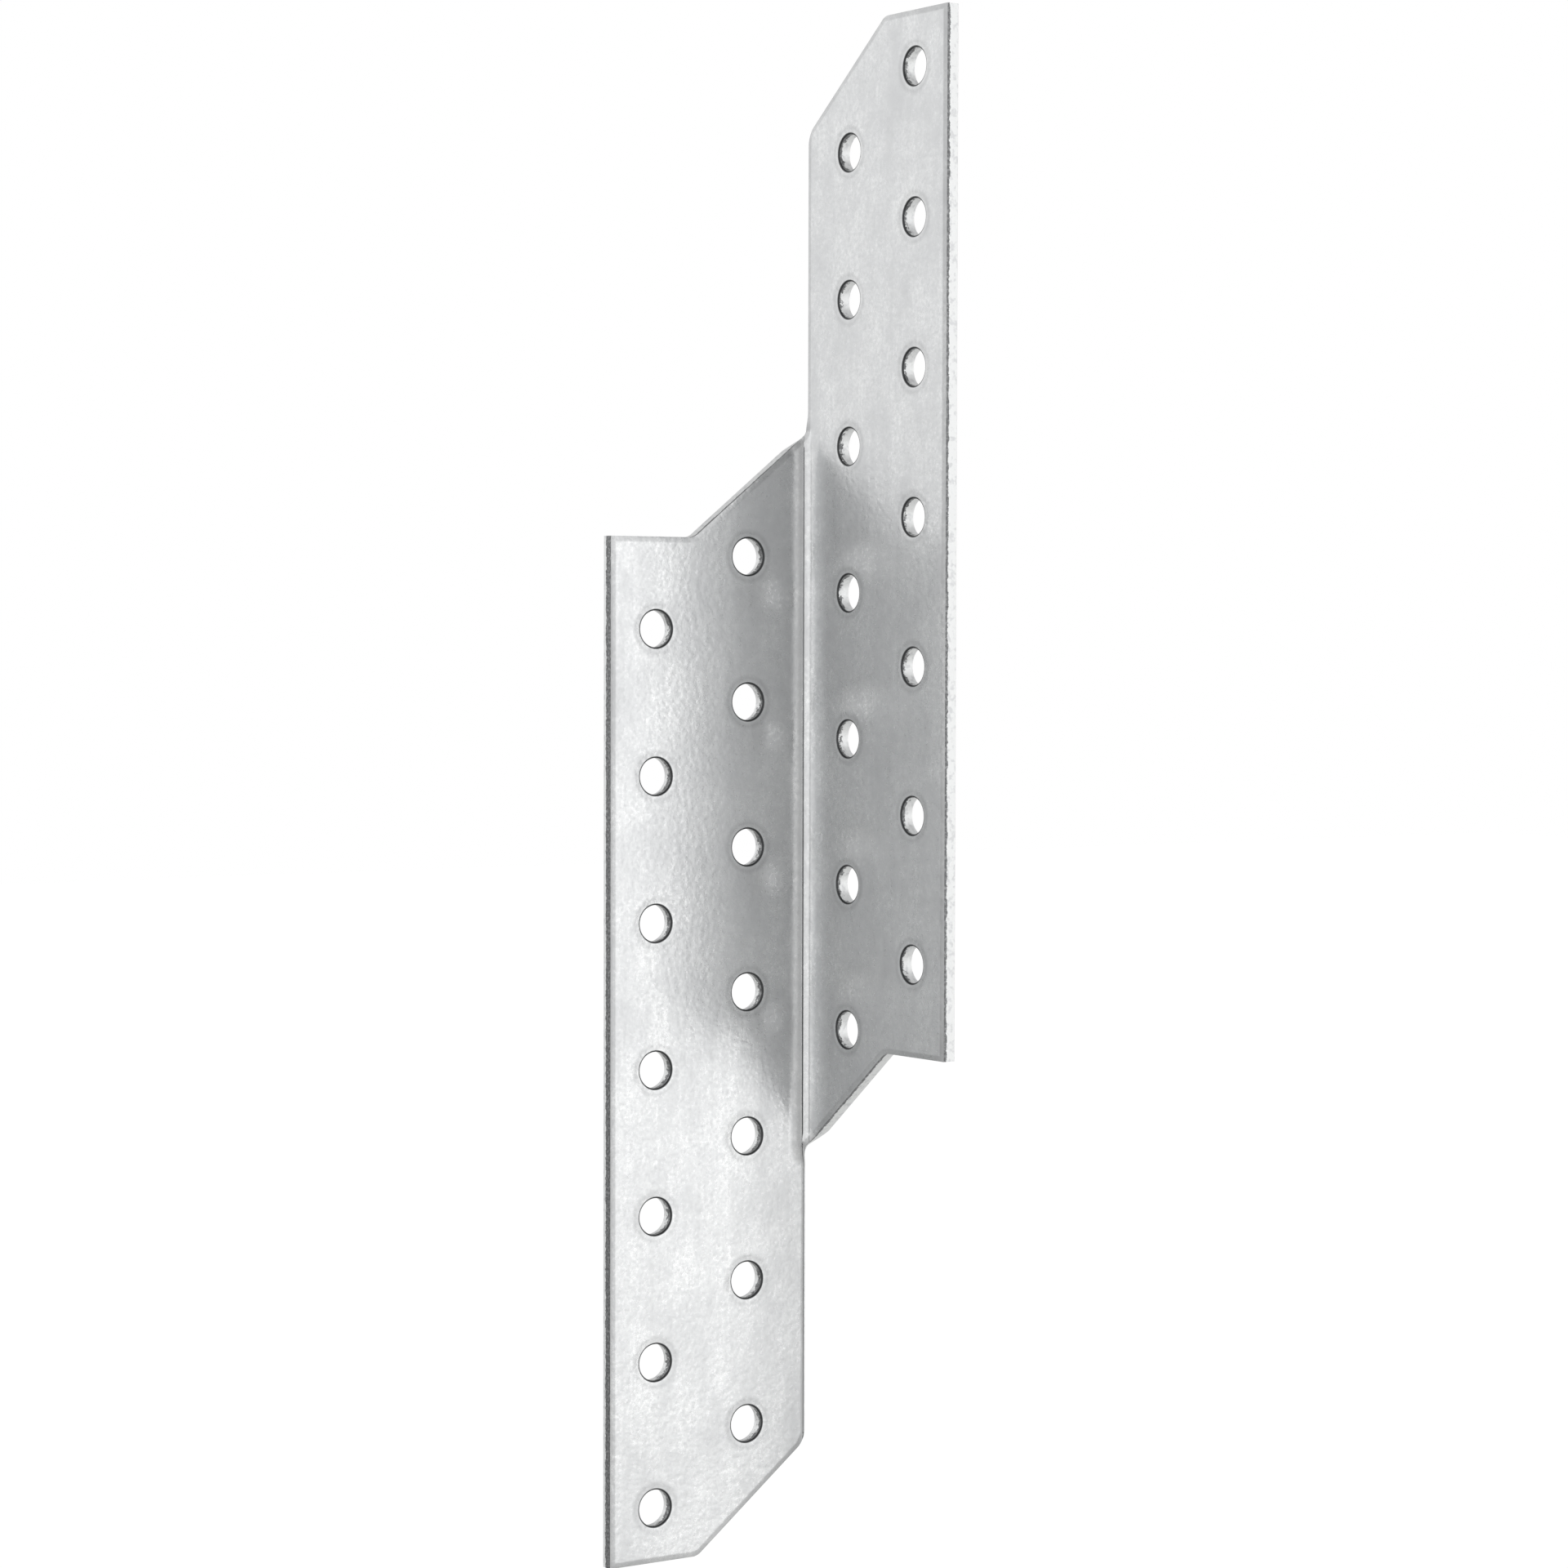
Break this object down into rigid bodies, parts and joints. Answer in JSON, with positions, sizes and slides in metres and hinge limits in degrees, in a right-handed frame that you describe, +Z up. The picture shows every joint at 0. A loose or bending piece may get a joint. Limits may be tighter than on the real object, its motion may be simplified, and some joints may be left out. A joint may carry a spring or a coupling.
{
  "type": "rafter anchor",
  "caption": "Right-angled sheet-steel anchor with offset perforated leaves, nailed at a crossing to tie a rafter down to the purlin that carries it.",
  "frame": {"origin": "on the line where the planes of the two outer faces cross, outside the rounded fold, at mid height", "axes": "+Z up along the fold, towards the rafter leaf's tip; +Y out of the purlin leaf's outer face, into the purlin; +X out of the rafter leaf's outer face, into the rafter"},
  "size_m": [0.034, 0.034, 0.21],
  "materials": {
    "galvanised_sheet": "hot-dip galvanised and skin-passed, fine satin grain without large spangle, bare sheared edges"
  },
  "bodies": {
    "root": {"rafter_anchor": "galvanised_sheet"}
  },
  "joints": []
}
